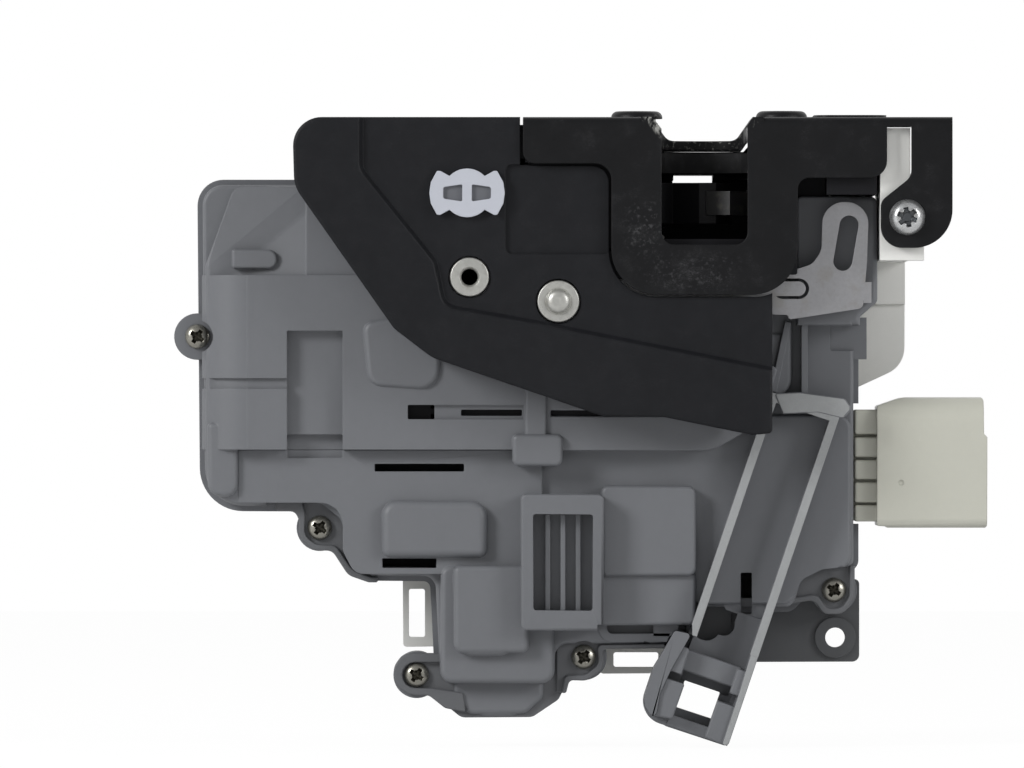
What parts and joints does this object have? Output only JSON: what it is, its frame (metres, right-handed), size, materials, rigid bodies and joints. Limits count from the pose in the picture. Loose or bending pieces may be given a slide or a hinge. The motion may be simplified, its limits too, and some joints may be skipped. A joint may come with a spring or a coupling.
{
  "type": "vehicle door latch actuator",
  "caption": "Door latch with claw and pawl, motor-driven lock in a grey housing, black shield, cable guide and side connector.",
  "frame": {"origin": "midway between the two latch screw holes, on the shut face", "axes": "+X towards the connector, +Z out of the shut face, -Y towards the striker's way in"},
  "size_m": [0.1714, 0.0504, 0.1338],
  "materials": {
    "grey_moulding": "fine moulded grain",
    "dark_grey_moulding": "fine moulded grain",
    "gasket_rubber": "soft moulded",
    "screw_steel": "zinc plated",
    "black_moulding": "smooth moulded",
    "black_steel": "satin e-coat",
    "case_black": "smooth moulded",
    "backing_steel": "e-coat",
    "rivet_steel": "zinc plated",
    "buffer_rubber": "soft moulded",
    "core_steel": "ground edges",
    "jacket_black": "overmoulded",
    "clip_white": "smooth moulded",
    "lever_zinc": "zinc plated, stamped",
    "bright_screw": "bright zinc",
    "back_white": "smooth moulded",
    "connector_cream": "smooth moulded",
    "pin_brass": "stamped",
    "can_steel": "drawn, plated",
    "cap_plastic": "moulded",
    "worm_plastic": "moulded",
    "wheel_plastic": "moulded",
    "slider_plastic": "moulded",
    "switch_black": "moulded",
    "spring_steel": "oiled wire"
  },
  "bodies": {
    "housing": {"front_cover": "grey_moulding", "rear_housing": "dark_grey_moulding", "housing_gasket": "gasket_rubber", "cover_screws": "screw_steel", "latch_cover": "black_moulding", "latch_plate": "black_steel", "latch_case": "case_black", "backing_plate": "backing_steel", "claw_rivet": "rivet_steel", "pawl_rivet": "rivet_steel", "mouth_buffer": "buffer_rubber", "lever_rivet": "rivet_steel", "hollow_rivet": "rivet_steel", "bayonet_clip": "clip_white", "ear_screw": "bright_screw", "rear_cover": "back_white", "connector_shell": "connector_cream", "connector_pins": "pin_brass", "conductor_strips": "pin_brass", "lock_motor_can": "can_steel", "safe_motor_can": "can_steel", "lock_motor_cap": "cap_plastic", "safe_motor_cap": "cap_plastic", "claw_switch": "switch_black", "pawl_switch": "switch_black", "lock_switch": "switch_black", "claw_spring": "spring_steel", "pawl_spring": "spring_steel", "lever_spring": "spring_steel"},
    "claw": {"claw_core": "core_steel", "claw_jacket": "jacket_black"},
    "pawl": {"pawl_core": "core_steel"},
    "inner_lever": {"release_lever": "lever_zinc"},
    "outside_lever": {"outer_lever": "lever_zinc"},
    "lock_gear": {"lock_wheel": "wheel_plastic"},
    "lock_screw": {"lock_worm": "worm_plastic"},
    "lock_rack": {"lock_slider": "slider_plastic"},
    "safe_gear": {"safe_wheel": "wheel_plastic"},
    "safe_screw": {"safe_worm": "worm_plastic"},
    "safe_rack": {"safe_slider": "slider_plastic"}
  },
  "joints": [
    {"name": "claw_swing", "type": "hinge", "parent": "housing", "child": "claw", "pos_m": [-0.014, 0.004, -0.018], "axis": [0, 0, 1], "range_deg": [0, 60], "stiffness_Nm_per_rad": 0.02, "deforming": ["claw_spring"]},
    {"name": "pawl_swing", "type": "hinge", "parent": "housing", "child": "pawl", "pos_m": [0.0165, 0.002, -0.018], "axis": [0, 0, 1], "range_deg": [0, 13], "stiffness_Nm_per_rad": 0.02, "deforming": ["pawl_spring"]},
    {"name": "release_lever_swing", "type": "hinge", "parent": "housing", "child": "inner_lever", "pos_m": [-0.0306, -0.012, -0.0386], "axis": [0, 1, 0], "range_deg": [0, 12], "stiffness_Nm_per_rad": 0.15, "springref_deg": -5.73, "deforming": ["lever_spring"]},
    {"name": "outer_lever_swing", "type": "hinge", "parent": "housing", "child": "outside_lever", "pos_m": [-0.0492, -0.012, -0.0335], "axis": [0, 1, 0], "range_deg": [0, 12], "stiffness_Nm_per_rad": 0.05, "springref_deg": -5.73},
    {"name": "lock_wheel_turn", "type": "hinge", "parent": "housing", "child": "lock_gear", "pos_m": [-0.08023, 0.0035, -0.0668], "axis": [0, 1, 0], "range_deg": [0, 90]},
    {"name": "lock_worm_spin", "type": "hinge", "parent": "housing", "child": "lock_screw", "pos_m": [-0.0954, 0.0035, -0.0668], "axis": [0, 0, -1], "range_deg": [-5, 2885]},
    {"name": "lock_slide", "type": "slide", "parent": "housing", "child": "lock_rack", "axis": [0, 0, -1], "range_m": [0, 0.00945]},
    {"name": "safe_wheel_turn", "type": "hinge", "parent": "housing", "child": "safe_gear", "pos_m": [-0.0366, 0.0035, -0.07209], "axis": [0, 1, 0], "range_deg": [0, 90]},
    {"name": "safe_worm_spin", "type": "hinge", "parent": "housing", "child": "safe_screw", "pos_m": [-0.0366, 0.0035, -0.0865], "axis": [1, 0, 0], "range_deg": [-5, 2705]},
    {"name": "safe_slide", "type": "slide", "parent": "housing", "child": "safe_rack", "axis": [1, 0, 0], "range_m": [0, 0.0079]}
  ],
  "couplings": [
    {"joint": "lock_worm_spin", "follows": "lock_wheel_turn", "ratio": 32},
    {"joint": "lock_slide", "follows": "lock_wheel_turn", "m_per_rad": 0.006},
    {"joint": "safe_worm_spin", "follows": "safe_wheel_turn", "ratio": 30},
    {"joint": "safe_slide", "follows": "safe_wheel_turn", "m_per_rad": 0.005}
  ]
}
